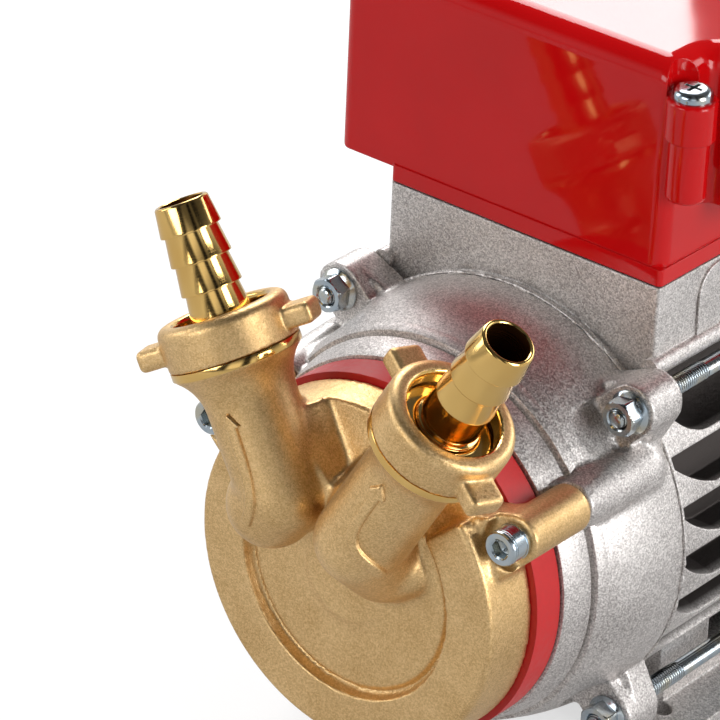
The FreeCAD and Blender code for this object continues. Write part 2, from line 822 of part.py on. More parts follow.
def cover_gasket():
    i = gasket_inset
    return rounded_block(-box_half_x + i, box_half_x - i, box_front_y + i, box_back_y - i,
                         box_top_z, box_top_z + gasket_thick, box_corner_r - i)


def cover_screw(x, y):
    head_top = column_top_z + cover_screw_head_high
    head = Part.makeCylinder(cover_screw_head_r, cover_screw_head_high, V(x, y, column_top_z))
    top = edges_where(head, lambda e: min(v.Z for v in e.Vertexes) > head_top - seat_gap)
    head = head.makeFillet(cover_screw_round, top)
    shank = Part.makeCylinder(cover_screw_r, cover_screw_long, V(x, y, column_top_z - cover_screw_long))
    reach, half = cover_screw_head_r / 2, cover_screw_slot / 2
    low = head_top - cover_screw_slot_deep
    slots = [block(x - reach, x + reach, y - half, y + half, low, head_top + overlap),
             block(x - half, x + half, y - reach, y + reach, low, head_top + overlap)]
    return head.fuse(shank).cut(slots)


def cable_gland():
    x, z = gland_x, gland_z
    neck_y = box_back_y + gland_base_long
    cap_y = neck_y + gland_neck_long
    dome_y = cap_y + gland_cap_long
    body = hexagon(gland_across, box_back_y, gland_base_long, x, z)
    neck = rod_y(gland_neck_r, neck_y, cap_y, x, z)
    cap = hexagon(gland_cap_across, cap_y, gland_cap_long, x, z)
    dome = Part.makeCone(gland_cap_across / 2, gland_dome_r, gland_dome_long, V(x, dome_y, z), V(0, 1, 0))
    bore = rod_y(gland_bore_r, box_back_y + fan_seat_gap, dome_y + gland_dome_long + overlap, x, z)
    return body.fuse([neck, cap, dome]).cut(bore)


def switch_parts():
    x = -cover_half_x
    window_y, window_z = rocker_half_y + fit_gap, rocker_half_z + fit_gap
    bezel = block(x - bezel_thick, x, switch_y - bezel_half_y, switch_y + bezel_half_y,
                  switch_z - bezel_half_z, switch_z + bezel_half_z)
    bezel = bezel.cut(block(x - bezel_thick - overlap, x + overlap, switch_y - window_y, switch_y + window_y,
                            switch_z - window_z, switch_z + window_z))
    high, low = switch_z + rocker_half_z, switch_z - rocker_half_z
    outline = [V(x, 0, low), V(x, 0, high), V(x - rocker_thick, 0, high)]
    dish = V(x - rocker_thick + rocker_dish, 0, switch_z)
    end = V(x - rocker_thick + rocker_dish / 2, 0, low)
    wire = Part.Wire([
        Part.makeLine(outline[0], outline[1]), Part.makeLine(outline[1], outline[2]),
        Part.Arc(outline[2], dish, end).toShape(), Part.makeLine(end, outline[0])])
    rocker = Part.Face(wire).extrude(V(0, 2 * rocker_half_y, 0))
    rocker.translate(V(0, switch_y - rocker_half_y, 0))
    return bezel, rocker


def foot_screw_ys():
    return base_middle_y - foot_screw_half_y, base_middle_y + foot_screw_half_y


def foot(side):
    top = pad_bottom_z - seat_gap
    profile = [(pad_inner_x, top), (pad_outer_x, top), (pad_outer_x, foot_shoulder_z),
               (foot_outer_x, foot_bottom_z + foot_base_thick), (foot_outer_x, foot_bottom_z),
               (pad_inner_x + foot_edge, foot_bottom_z), (pad_inner_x, foot_bottom_z + foot_edge)]
    profile = [(side * x, z) for x, z in profile]
    body = prism_y(profile, base_middle_y - foot_long / 2, base_middle_y + foot_long / 2)
    low = foot_bottom_z - overlap
    tall = axis_height
    cuts = []
    for y in (base_middle_y - base_hole_y / 2, base_middle_y + base_hole_y / 2):
        cuts.append(Part.makeCylinder(base_hole_r, tall, V(side * base_hole_x / 2, y, low)))
    for y in foot_screw_ys():
        place = V(side * foot_screw_x, y, low)
        cuts.append(Part.makeCylinder(foot_screw_r + fit_gap, tall, place))
        cuts.append(Part.makeCylinder(foot_screw_head_r + foot_sink_gap, foot_screw_sink + overlap, place))
    return body.cut(cuts)


def foot_screw(side, y):
    x = side * foot_screw_x
    seat = foot_bottom_z + foot_screw_sink
    head = Part.makeCylinder(foot_screw_head_r, foot_screw_sink - foot_head_inset,
                             V(x, y, foot_bottom_z + foot_head_inset))
    shank = Part.makeCylinder(foot_screw_r, pad_bottom_z + foot_screw_deep - seat, V(x, y, seat))
    return head.fuse(shank)


def main():
    os.makedirs("parts", exist_ok=True)
    save("pump_head", pump_head())
    for name, side in (("right", 1), ("left", -1)):
        save("union_nut_" + name, union_nut(side, nut_turns[name]))
        save("hose_tail_" + name, hose_tail(side))
    save("red_ring", red_ring())
    save("front_bracket", front_bracket())
    for name, angle in lug_angles.items():
        save("head_screw_" + name, head_screw(angle))
    for number, (x, z) in enumerate(rod_places(), start=1):
        save("tie_rod_" + str(number), tie_rod(x, z))
        save("front_nut_" + str(number), flange_nut(x, z, lobe_front_y, -1))
        save("rear_nut_" + str(number), flange_nut(x, z, shield_back_y, 1))
    save("motor_casing", motor_casing())
    save("rear_shield", rear_shield())
    save("motor_shaft", motor_shaft())
    save("fan", fan())
    save("fan_cover", fan_cover())
    save("terminal_cover", terminal_cover())
    save("cover_gasket", cover_gasket())
    for name, (x, y) in zip(("front", "rear"), column_places()):
        save("cover_screw_" + name, cover_screw(x, y))
    save("cable_gland", cable_gland())
    bezel, rocker = switch_parts()
    save("switch_bezel", bezel)
    save("switch_rocker", rocker)
    save("foot_right", foot(1))
    save("foot_left", foot(-1))
    screws = [(side, y) for side in (1, -1) for y in foot_screw_ys()]
    for number, (side, y) in enumerate(screws, start=1):
        save("foot_screw_" + str(number), foot_screw(side, y))
    for number, angle in enumerate(cowl_screw_angles, start=1):
        save("fan_cover_screw_" + str(number), cowl_screw(angle))


main()
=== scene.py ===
import math

import bmesh
import bpy
import numpy as np
from mathutils import Matrix, Vector
from mathutils.bvhtree import BVHTree


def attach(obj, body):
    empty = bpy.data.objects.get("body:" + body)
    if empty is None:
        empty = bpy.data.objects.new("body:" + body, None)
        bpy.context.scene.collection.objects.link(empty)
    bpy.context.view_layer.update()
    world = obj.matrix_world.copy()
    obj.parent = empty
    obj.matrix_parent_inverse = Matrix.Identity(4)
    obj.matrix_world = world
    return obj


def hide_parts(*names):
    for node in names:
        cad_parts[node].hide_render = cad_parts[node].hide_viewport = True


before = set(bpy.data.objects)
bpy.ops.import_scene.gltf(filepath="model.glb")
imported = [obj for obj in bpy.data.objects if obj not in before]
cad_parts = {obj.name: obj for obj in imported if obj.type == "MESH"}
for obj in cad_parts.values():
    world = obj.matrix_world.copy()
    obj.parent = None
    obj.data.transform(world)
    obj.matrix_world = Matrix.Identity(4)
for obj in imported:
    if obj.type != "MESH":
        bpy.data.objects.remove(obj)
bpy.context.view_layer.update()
print("frame loaded:", len(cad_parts), "nodes")

mm = 0.001
shaftMiddle = Vector((0.0, -114.0, 75.0))  # mm, where the pump's own axes start in the row frame
ports = {"frontY": -27.0, "lean": -0.8, "tilt": {1: 30.2, -1: 29.2}}  # mm, degrees; 1 is right, -1 left


# Materials: one node at a time, sRGB hex colours

def linearColour(hexColour):
    values = []
    for i in (1, 3, 5):
        c = int(hexColour[i:i + 2], 16) / 255
        values.append(c / 12.92 if c <= 0.04045 else ((c + 0.055) / 1.055) ** 2.4)
    return (*values, 1.0)


def addNode(tree, kind, settings=None, inputs=None, stops=()):
    node = tree.nodes.new("ShaderNode" + kind)
    for name, value in (settings or {}).items():
        setattr(node, name, value)
    for name, value in (inputs or {}).items():
        socket = node.inputs[name]
        if isinstance(value, bpy.types.NodeSocket):
            tree.links.new(value, socket)
        else:
            socket.default_value = value
    if stops:  # places and colours of a colour ramp
        elements = node.color_ramp.elements
        while len(elements) < len(stops):
            elements.new(0.5)
        for element, (place, colour) in zip(elements, stops):
            element.position = place
            element.color = linearColour(colour)
    return node


def perMetre(sizeMm):
    return 1 / (sizeMm * mm)  # texture scale that makes one cell this many mm wide


noiseSpan = {"From Min": 0.3, "From Max": 0.7}  # where nearly all values of a noise texture lie


def startMaterial(name):
    material = bpy.data.materials.new(name)
    material.use_nodes = True
    tree = material.node_tree
    tree.nodes.clear()
    place = addNode(tree, "TexCoord").outputs["Object"]
    shader = addNode(tree, "BsdfPrincipled")
    addNode(tree, "OutputMaterial", inputs={"Surface": shader.outputs["BSDF"]})
    return material, tree, place, shader


def pocketShade(tree, place, colour, look):
    # painted shade: the skin is drawn darker the deeper it lies between the fins, where shade falls
    flat = addNode(tree, "VectorMath", {"operation": "MULTIPLY_ADD"}, {
        0: place, 1: (1.0, 0.0, 1.0), 2: (0.0, 0.0, -shaftMiddle.z * mm)}).outputs["Vector"]
    radius = addNode(tree, "VectorMath", {"operation": "LENGTH"}, {0: flat}).outputs["Value"]
    deep = addNode(tree, "MapRange", inputs={
        "Value": radius, "From Min": look["pocketTopR"] * mm,
        "From Max": look["pocketLowR"] * mm}).outputs["Result"]
    return addNode(tree, "Mix", {"data_type": "RGBA"}, {
        0: deep, 6: colour, 7: linearColour(look["pocketPaintedShade"])}).outputs[2]


def blastedMetal(name, look):
    # a cast skin: grains that catch the light one by one over faint cloudy patches
    material, tree, place, shader = startMaterial(name)
    patches = addNode(tree, "TexNoise", inputs={
        "Vector": place, "Scale": perMetre(look["patchMm"]), "Detail": 3.0}).outputs["Fac"]
    grains = addNode(tree, "TexVoronoi", {"feature": "F1"}, {
        "Vector": place, "Scale": perMetre(look["grainMm"])}).outputs["Color"]
    pale = addNode(tree, "SeparateColor", inputs={"Color": grains}).outputs["Red"]
    cloudy = addNode(tree, "MapRange", inputs={
        "Value": patches, **noiseSpan, "To Max": 1.0 - look["grainShare"]}).outputs["Result"]
    shade = addNode(tree, "Math", {"operation": "MULTIPLY_ADD"}, {
        0: pale, 1: look["grainShare"], 2: cloudy}).outputs[0]
    colour = addNode(tree, "ValToRGB", inputs={"Fac": shade}, stops=look["colours"]).outputs["Color"]
    # painted shade between the fins, for the castings that have it
    if "pocketPaintedShade" in look:
        colour = pocketShade(tree, place, colour, look)
    rough = addNode(tree, "MapRange", inputs={
        "Value": grains, "To Min": look["roughness"] - look["roughnessSpread"],
        "To Max": look["roughness"] + look["roughnessSpread"]}).outputs["Result"]
    facets = addNode(tree, "VectorMath", {"operation": "MULTIPLY_ADD"}, {
        0: grains, 1: (2 * look["sparkle"],) * 3, 2: (-look["sparkle"],) * 3}).outputs["Vector"]
    rounded = addNode(tree, "Bevel", {"samples": 4}, {"Radius": look["edgeMm"] * mm}).outputs["Normal"]
    tilted = addNode(tree, "VectorMath", {"operation": "ADD"}, {0: rounded, 1: facets}).outputs["Vector"]
    unit = addNode(tree, "VectorMath", {"operation": "NORMALIZE"}, {0: tilted}).outputs["Vector"]
    skin = addNode(tree, "TexNoise", inputs={
        "Vector": place, "Scale": perMetre(look["skinMm"]), "Detail": 4.0}).outputs["Fac"]
    bumped = addNode(tree, "Bump", inputs={
        "Height": skin, "Strength": look["skinStrength"], "Distance": look["skinDepthMm"] * mm,
        "Normal": unit}).outputs["Normal"]
    shader.inputs["Metallic"].default_value = 1.0
    tree.links.new(colour, shader.inputs["Base Color"])
    tree.links.new(rough, shader.inputs["Roughness"])
    tree.links.new(bumped, shader.inputs["Normal"])
    return material


def smoothPlastic(name, look):
    # an even moulded face with a faint waviness that bends the reflections
    material, tree, place, shader = startMaterial(name)
    waves = addNode(tree, "TexNoise", inputs={
        "Vector": place, "Scale": perMetre(look["waveMm"]), "Detail": 2.0}).outputs["Fac"]
    colour = addNode(tree, "ValToRGB", inputs={"Fac": waves}, stops=look["colours"]).outputs["Color"]
    swing = 0.15 * look["roughness"]
    rough = addNode(tree, "MapRange", inputs={
        "Value": waves, **noiseSpan,
        "To Min": look["roughness"] - swing, "To Max": look["roughness"] + swing}).outputs["Result"]
    rounded = addNode(tree, "Bevel", {"samples": 4}, {"Radius": look["edgeMm"] * mm}).outputs["Normal"]
    bumped = addNode(tree, "Bump", inputs={
        "Height": waves, "Strength": look["waveStrength"], "Distance": look["waveDepthMm"] * mm,
        "Normal": rounded}).outputs["Normal"]
    shader.inputs["IOR"].default_value = look["ior"]
    tree.links.new(colour, shader.inputs["Base Color"])
    tree.links.new(rough, shader.inputs["Roughness"])
    tree.links.new(bumped, shader.inputs["Normal"])
    return material


def machinedMetal(name, look, turn):
    # tool marks run round the piece's own axis, so highlights break into fine rings
    material, tree, place, shader = startMaterial(name)
    along = addNode(tree, "Mapping", {"vector_type": "TEXTURE"}, {
        "Vector": place, "Location": turn.translation, "Rotation": turn.to_euler()}).outputs["Vector"]
    height = addNode(tree, "SeparateXYZ", inputs={"Vector": along}).outputs["Z"]
    tracks = addNode(tree, "TexNoise", {"noise_dimensions": "1D"}, {
        "W": height, "Scale": perMetre(look["trackMm"]), "Detail": 2.0}).outputs["Fac"]
    cloud = addNode(tree, "TexNoise", inputs={
        "Vector": place, "Scale": perMetre(look["cloudMm"])}).outputs["Fac"]
    colour = addNode(tree, "ValToRGB", inputs={"Fac": cloud}, stops=look["colours"]).outputs["Color"]
    swing = 0.3 * look["roughness"]
    rough = addNode(tree, "MapRange", inputs={
        "Value": tracks, **noiseSpan,
        "To Min": look["roughness"] - swing, "To Max": look["roughness"] + swing}).outputs["Result"]
    rounded = addNode(tree, "Bevel", {"samples": 4}, {"Radius": look["edgeMm"] * mm}).outputs["Normal"]
    bumped = addNode(tree, "Bump", inputs={
        "Height": tracks, "Strength": look["trackStrength"], "Distance": look["trackDepthMm"] * mm,
        "Normal": rounded}).outputs["Normal"]
    shader.inputs["Metallic"].default_value = 1.0
    tree.links.new(colour, shader.inputs["Base Color"])
    tree.links.new(rough, shader.inputs["Roughness"])
    tree.links.new(bumped, shader.inputs["Normal"])
    return material


def portTurn(side):
    # a port's own axis as the Z of a matrix
    foot = Matrix.Translation((shaftMiddle + Vector((0, ports["frontY"], 0))) * mm)
    tilt = Matrix.Rotation(math.radians(side * ports["tilt"][side]), 4, "Y")
    return foot @ tilt @ Matrix.Rotation(math.radians(ports["lean"]), 4, "X")


alongY = Matrix.Translation(shaftMiddle * mm) @ Matrix.Rotation(math.radians(-90), 4, "X")

# Cast brass, shot-blasted: matt straw gold, speckled with browner and paler grains.
# Real blasting grit leaves pits of about 0.15 mm: grainMm and skinMm are drawn coarser, so that they show.
castBrass = blastedMetal("castBrassShotBlasted", {
    "colours": [(0.0, "#C29D66"), (1.0, "#F0CF9A")], "patchMm": 16.0, "grainShare": 0.7,
    "grainMm": 0.38, "sparkle": 0.05, "roughness": 0.45, "roughnessSpread": 0.1, "edgeMm": 0.0,
    "skinMm": 0.6, "skinStrength": 0.12, "skinDepthMm": 0.06})

# Die-cast aluminium, shot-blasted: pale warm grey frost with fine glints, as coarse as the brass's grains
frostLook = {
    "colours": [(0.0, "#97918F"), (1.0, "#F2EEEB")], "patchMm": 20.0, "grainShare": 0.8,
    "grainMm": 0.38, "sparkle": 0.05, "roughness": 0.5, "roughnessSpread": 0.1, "edgeMm": 0.0,
    "skinMm": 0.6, "skinStrength": 0.1, "skinDepthMm": 0.06}
castAluminium = blastedMetal("castAluminiumShotBlasted", frostLook)
castAluminiumEdged = blastedMetal("castAluminiumEdged", {**frostLook, "edgeMm": 1.0})
# the motor casing's frost, with painted shade down between its fins
castAluminiumFinnedPaintedShade = blastedMetal("castAluminiumFinnedPaintedShade", {
    **frostLook, "edgeMm": 1.0, "pocketTopR": 65.6, "pocketLowR": 62.5, "pocketPaintedShade": "#4A4543"})

# Brass bar, turned and bright: deep yellow mirror with faint rings; the feed of about 0.1 mm is drawn coarser
turnedLook = {
    "colours": [(0.3, "#E2B86C"), (0.7, "#EBC57C")], "cloudMm": 20.0, "trackMm": 0.35,
    "trackStrength": 0.25, "trackDepthMm": 0.02, "roughness": 0.13, "edgeMm": 0.0}
turnedBrass = {side: machinedMetal("brassTurned" + name, turnedLook, portTurn(side))
               for side, name in ((1, "Right"), (-1, "Left"))}

# Brass, drilled and left as it came, so duller; its brown colour is painted shade, since little daylight
# creeps down the bore
boreShadeLook = {**turnedLook, "colours": [(0.3, "#7E4F22"), (0.7, "#8C5A2A")], "roughness": 0.35}
boreShadedBrass = {side: machinedMetal("brassBorePaintedShade" + name, boreShadeLook, portTurn(side))
              for side, name in ((1, "Right"), (-1, "Left"))}

# Steel, blue zinc plated: cool grey with bluish and yellowish patches
zincLook = {
    "colours": [(0.3, "#A9B8C4"), (0.5, "#BCC5CA"), (0.7, "#C6C3B4")], "cloudMm": 6.0, "trackMm": 0.6,
    "trackStrength": 0.15, "trackDepthMm": 0.02, "roughness": 0.2, "edgeMm": 0.0}
zincSteel = machinedMetal("steelZincPlated", zincLook, alongY)
zincEdged = machinedMetal("steelZincEdged", {**zincLook, "edgeMm": 0.25}, alongY)
# painted shade: the thread's roots are drawn dark grey, where shade falls between the flanks
zincRootsPaintedShade = machinedMetal("steelZincRootsPaintedShade", {
    **zincLook, "colours": [(0.3, "#4E5357"), (0.7, "#5A5C58")], "roughness": 0.35}, alongY)

# Steel, ground: plain grey shaft
groundSteel = machinedMetal("steelGround", {
    "colours": [(0.3, "#A9A9A9"), (0.7, "#B8B8B8")], "cloudMm": 20.0, "trackMm": 0.3,
    "trackStrength": 0.2, "trackDepthMm": 0.01, "roughness": 0.25, "edgeMm": 0.2}, alongY)

# ABS, injection moulded and glossy: strong red with crisp, faint reflections, so its IOR is under 1.54
glossRed = smoothPlastic("absMouldedRed", {
    "colours": [(0.3, "#BE080B"), (0.7, "#C60A0E")], "waveMm": 30.0, "roughness": 0.045, "ior": 1.4,
    "edgeMm": 0.5, "waveStrength": 0.05, "waveDepthMm": 0.2})

# Vulcanised fibre ring, die-cut: even matt red
mattRed = smoothPlastic("vulcanisedFibreRed", {
    "colours": [(0.3, "#BC1819"), (0.7, "#C41F21")], "waveMm": 2.0, "roughness": 0.42, "ior": 1.5,
    "edgeMm": 0.3, "waveStrength": 0.15, "waveDepthMm": 0.05})

# Polyamide, moulded black: dark with a soft sheen
blackPlastic = smoothPlastic("polyamideMouldedBlack", {
    "colours": [(0.3, "#18181A"), (0.7, "#202022")], "waveMm": 0.8, "roughness": 0.42, "ior": 1.53,
    "edgeMm": 0.4, "waveStrength": 0.25, "waveDepthMm": 0.05})

# Nitrile rubber, moulded: dull charcoal
gasketRubber = smoothPlastic("nitrileMoulded", {
    "colours": [(0.3, "#1C1C1C"), (0.7, "#262626")], "waveMm": 0.6, "roughness": 0.75, "ior": 1.52,
    "edgeMm": 0.2, "waveStrength": 0.3, "waveDepthMm": 0.05})

# Sheet steel, powder coated dark grey: fine orange peel
coatedSteel = smoothPlastic("steelPowderCoated", {
    "colours": [(0.3, "#47484B"), (0.7, "#4E4F52")], "waveMm": 1.6, "roughness": 0.38, "ior": 1.5,
    "edgeMm": 0.5, "waveStrength": 0.35, "waveDepthMm": 0.06})

nodeFinish = {
    "pump_head": castBrass, "union_nut": castBrass, "hose_tail_right": turnedBrass[1],
    "hose_tail_left": turnedBrass[-1], "red_ring": mattRed, "front_bracket": castAluminium,
    "head_screw": zincSteel, "tie_rod": zincSteel, "front_nut": zincSteel, "rear_nut": zincSteel,
    "motor_casing": castAluminiumFinnedPaintedShade, "rear_shield": castAluminiumEdged, "motor_shaft": groundSteel,
    "fan_cover": coatedSteel, "fan_cover_screw": zincEdged, "fan": blackPlastic, "terminal_cover": glossRed,
    "cover_gasket": gasketRubber, "cover_screw": zincEdged, "cable_gland": blackPlastic,
    "switch": blackPlastic, "foot_screw": zincEdged, "foot": castAluminiumEdged,
}
for name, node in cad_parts.items():
    key = max((k for k in nodeFinish if name.startswith(k)), key=len)
    node.data.materials.clear()
    node.data.materials.append(nodeFinish[key])
print("materials done")


# Castings: the CAD solid as an even skin, with hollows filled to fillets and edges softened

def radiusFromAxis(co, turn):
    inverse = np.array(turn.inverted())
    local = co @ inverse[:3, :3].T + inverse[:3, 3]
    return np.hypot(local[:, 0], local[:, 1]) / mm, local[:, 2] / mm


def vertexPlaces(mesh):
    co = np.empty(len(mesh.vertices) * 3)
    mesh.vertices.foreach_get("co", co)
    return co.reshape(-1, 3)


def evenSkin(nodeName, pieceName, look, addForm=None):
    piece = bpy.data.objects.new(pieceName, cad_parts[nodeName].data.copy())
    if addForm:
        addForm(piece.data)
    bpy.context.scene.collection.objects.link(piece)
    remesh = piece.modifiers.new("skin", "REMESH")
    remesh.mode = "VOXEL"
    remesh.voxel_size = look["voxelMm"] * mm
    graph = bpy.context.evaluated_depsgraph_get()
    skin = bpy.data.meshes.new_from_object(piece.evaluated_get(graph))
    piece.modifiers.clear()
    piece.data = skin
    softenCasting(skin, look)
    for polygon in skin.polygons:
        polygon.use_smooth = True
    print(pieceName, len(skin.polygons), "faces")
    return piece


def softenCasting(skin, look):
    count = len(skin.vertices)
    co = vertexPlaces(skin)
    ends = np.empty(len(skin.edges) * 2, int)
    skin.edges.foreach_get("vertices", ends)
    a, b = ends.reshape(-1, 2).T
    corners = np.empty(len(skin.loops), int)
    skin.loops.foreach_get("vertex_index", corners)
    quads = corners.reshape(-1, 4)
    degree = np.bincount(ends, minlength=count)

    def around(values):
        return (np.bincount(a, values[b], count) + np.bincount(b, values[a], count)) / degree

    def towardsNeighbours():
        return np.stack([around(co[:, i]) for i in range(3)], axis=1) - co

    def calm(rounds):  # evens out the grid's small steps without shrinking the form
        for _ in range(rounds):
            for push in look["calmPushes"]:
                co[:] += towardsNeighbours() * push

    share = np.ones(count)
    for x, z, inner, outer, lowY, highY, zoneShare in look["crisp"]:
        radius, along = radiusFromAxis(co, alongY @ Matrix.Translation((x * mm, -z * mm, 0)))
        share[(radius > inner) & (radius < outer) & (along > lowY) & (along < highY)] = zoneShare
    calm(look["calmFirst"])
    for _ in range(look["rounds"]):
        step = towardsNeighbours()
        across = np.cross(co[quads[:, 2]] - co[quads[:, 0]], co[quads[:, 3]] - co[quads[:, 1]])
        spread = [np.bincount(quads.ravel(), np.repeat(across[:, i], 4), count) for i in range(3)]
        normal = np.stack(spread, axis=1)
        normal /= np.linalg.norm(normal, axis=1)[:, None] + 1e-12
        outward = (step * normal).sum(1)
        for _ in range(2):  # the mean of a small patch decides between hollow and edge
            outward = around(outward)
        strength = np.where(outward > look["hollowMm"] * mm, look["fillShare"], look["wearShare"])
        co += step * (share * strength)[:, None]
    calm(look["calmLast"])
    skin.vertices.foreach_set("co", co.ravel())
    skin.update()


def onPump(x, y, z):
    return (shaftMiddle + Vector((x, y, z))) * mm


def finishPiece(piece, materials, nodeNames=()):
    piece.data.materials.clear()
    for material in materials:
        piece.data.materials.append(material)
    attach(piece, "root")
    if nodeNames:
        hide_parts(*nodeNames)


def meshPiece(name, form, smooth=True):
    # a bmesh as a piece of the scene, its faces turned outwards
    bmesh.ops.recalc_face_normals(form, faces=form.faces)
    mesh = bpy.data.meshes.new(name)
    form.to_mesh(mesh)
    form.free()
    mesh.polygons.foreach_set("use_smooth", [smooth] * len(mesh.polygons))
    piece = bpy.data.objects.new(name, mesh)
    bpy.context.scene.collection.objects.link(piece)
    return piece


castingLook = {
    "fillShare": 0.7, "wearShare": 0.1, "hollowMm": 0.004,
    "calmFirst": 3, "calmLast": 2, "calmPushes": (0.5, -0.52),
    "crisp": []}  # zones kept sharp: x, z, radius from, to, y from, to, share of the softening
head = {
    **castingLook, "voxelMm": 0.77, "rounds": 15,
    "crisp": [(0.0, 0.0, 35.0, 41.0, -30.0, -8.0, 0.1),  # the groove
              (-6.5, 44.5, 0.0, 10.5, -17.0, -5.0, 0.3),  # the two creases beside the fork
              (6.5, 44.5, 0.0, 10.5, -17.0, -5.0, 0.3)]}
fork = {
    "rimY": -11.9, "rimZ": 54.0, "slope": 0.25,  # the ground between the ports rises towards the middle
    "creaseRimOff": 14.6, "creaseRimT": 52.0, "creaseApexOff": 17.9, "creaseApexT": 32.0,
    "flank": 3.0, "flankTop": -25.0, "angle": 33.0, "innerR": 26.0, "rimBackR": 54.35, "rimTaper": 0.079,
    "backY": -1.0, "stepMm": 0.5, "stepDegrees": 0.5}


def forkHeight(x, z):
    # ground between the ports, and the drafted flanks that run from it up into the port tubes
    ground = fork["rimY"] - (fork["rimZ"] - z) * fork["slope"]
    front = ground
    for side in (1, -1):
        axis = portTurn(side).to_3x3() @ Vector((0, 0, 1))
        along = x * axis.x + z * axis.z
        off = (z * axis.x - x * axis.z) * side  # from the port's line towards the middle
        share = (along - fork["creaseApexT"]) / (fork["creaseRimT"] - fork["creaseApexT"])
        crease = fork["creaseApexOff"] + (fork["creaseRimOff"] - fork["creaseApexOff"]) * share
        if 0 < off < crease:
            front = min(front, max(fork["flankTop"], ground - (crease - off) * fork["flank"]))
    return front


def addFork(mesh):
    # a block over the fork's ground, which the even skin then joins with the casting
    form = bmesh.new()
    form.from_mesh(mesh)
    turns = int(2 * fork["angle"] / fork["stepDegrees"])
    steps = int((fork["rimBackR"] - fork["innerR"]) / fork["stepMm"])
    front, back = [], []
    for i in range(turns + 1):
        angle = math.radians(90 - fork["angle"] + i * fork["stepDegrees"])
        ahead, behind = [], []
        for k in range(steps + 1):
            r = fork["innerR"] + (fork["rimBackR"] - fork["innerR"]) * k / steps
            x, z = r * math.cos(angle), r * math.sin(angle)
            y = forkHeight(x, z)
            if k == steps:
                r += fork["rimTaper"] * y
            ahead.append(form.verts.new(onPump(r * math.cos(angle), y, r * math.sin(angle))))
            behind.append(form.verts.new(onPump(x, fork["backY"], z)))
        front.append(ahead)
        back.append(behind)
    made = []
    for i in range(turns):
        for k in range(steps):
            made.append(form.faces.new((front[i][k], front[i + 1][k], front[i + 1][k + 1], front[i][k + 1])))
            made.append(form.faces.new((back[i][k], back[i][k + 1], back[i + 1][k + 1], back[i + 1][k])))
        for k in (0, steps):
            made.append(form.faces.new((front[i][k], back[i][k], back[i + 1][k], front[i + 1][k])))
    for i in (0, turns):
        for k in range(steps):
            made.append(form.faces.new((front[i][k], front[i][k + 1], back[i][k + 1], back[i][k])))
    bmesh.ops.recalc_face_normals(form, faces=made)
    form.to_mesh(mesh)
    form.free()


headCasting = evenSkin("pump_head", "headCasting", head, addFork)
finishPiece(headCasting, [castBrass], ["pump_head"])

screws = {"pitchR": 61.5, "angles": {"right": 30.0, "left": 150.0, "bottom": 270.0}}  # the three head screws
rods = {"x": 53.3, "z": 50.7}  # the four tie rods
bracket = {
    **castingLook, "voxelMm": 0.8, "rounds": 7, "wearShare": 0.05,
    "crisp": [(0.0, 0.0, 0.0, 90.0, -10.0, 24.0, 0.2)]  # the ring land and the turned boss fronts
    + [(sx * rods["x"], sz * rods["z"], 0.0, 10.5, 38.0, 50.0, 0.25)  # the four nut seats
       for sx in (-1, 1) for sz in (-1, 1)],
    "bossRoom": 8.9, "landFront": 11.2, "landStep": 20.7, "landEnd": 22.0, "sunkEnd": 23.4, "lipEnd": 25.6,
    "sunkInnerR": 54.0, "sunkOuterR": 61.5, "sink": 2.4}


def sinkLand(skin):
    # the ring in front of the bracket's step goes down between the bosses, to make room for the machined land
    co = vertexPlaces(skin)
    radius, along = radiusFromAxis(co, alongY)
    sunk = (along < bracket["sunkEnd"]) & (radius > bracket["sunkInnerR"]) & (radius < bracket["sunkOuterR"])
    outToBoss = Matrix.Translation((screws["pitchR"] * mm, 0, 0))
    for angle in screws["angles"].values():
        away, _ = radiusFromAxis(co, alongY @ Matrix.Rotation(math.radians(-angle), 4, "Z") @ outToBoss)
        sunk &= away > bracket["bossRoom"]
    for i, middle in ((0, shaftMiddle.x), (2, shaftMiddle.z)):
        co[sunk, i] -= (co[sunk, i] - middle * mm) / radius[sunk] * bracket["sink"]
    skin.vertices.foreach_set("co", co.ravel())


bracketCasting = evenSkin("front_bracket", "bracketCasting", bracket)
sinkLand(bracketCasting.data)
finishPiece(bracketCasting, [castAluminium], ["front_bracket"])

nut = {**castingLook, "voxelMm": 0.45, "rounds": 10, "wearShare": 0.22, "machinedR": 15.0}
for side, word in ((1, "right"), (-1, "left")):
    piece = evenSkin("union_nut_" + word, "unionNut" + word.capitalize(), nut)
    radius, _ = radiusFromAxis(vertexPlaces(piece.data), portTurn(side))
    finishPiece(piece, [castBrass, turnedBrass[side]], ["union_nut_" + word])
    for polygon in piece.data.polygons:
        if max(radius[i] for i in polygon.vertices) < nut["machinedR"]:
            polygon.material_index = 1
print("castings done")


# Turned, threaded and hexagonal forms: rings of (radius, height) in mm round a line

def turnedForm(name, rings, turn, steps=96, sharpDegrees=32.0):
    form = bmesh.new()
    loops = []
    for radius, height in rings:
        if callable(radius):
            reach = [radius(2 * math.pi * k / steps) for k in range(steps)]
        else:
            reach = [radius] * steps
        if max(reach) == 0:
            loops.append([form.verts.new(turn @ Vector((0, 0, height * mm)))])
            continue
        loop = []
        for k, r in enumerate(reach):
            angle = 2 * math.pi * k / steps
            corner = Vector((r * math.cos(angle), r * math.sin(angle), height)) * mm
            loop.append(form.verts.new(turn @ corner))
        loops.append(loop)
    for low, high in zip(loops, loops[1:]):
        for k in range(steps):
            n = (k + 1) % steps
            corners = [low[k % len(low)], low[n % len(low)], high[n % len(high)], high[k % len(high)]]
            form.faces.new(list(dict.fromkeys(corners)))
    piece = meshPiece(name, form)
    piece.data.set_sharp_from_angle(angle=math.radians(sharpDegrees))
    return piece


def hexagonRadius(across, corner=0.0):
    def radius(angle):
        turned = (angle % (math.pi / 3)) - math.pi / 6
        return min(across / 2 / math.cos(turned), across / math.sqrt(3) - corner)
    return radius


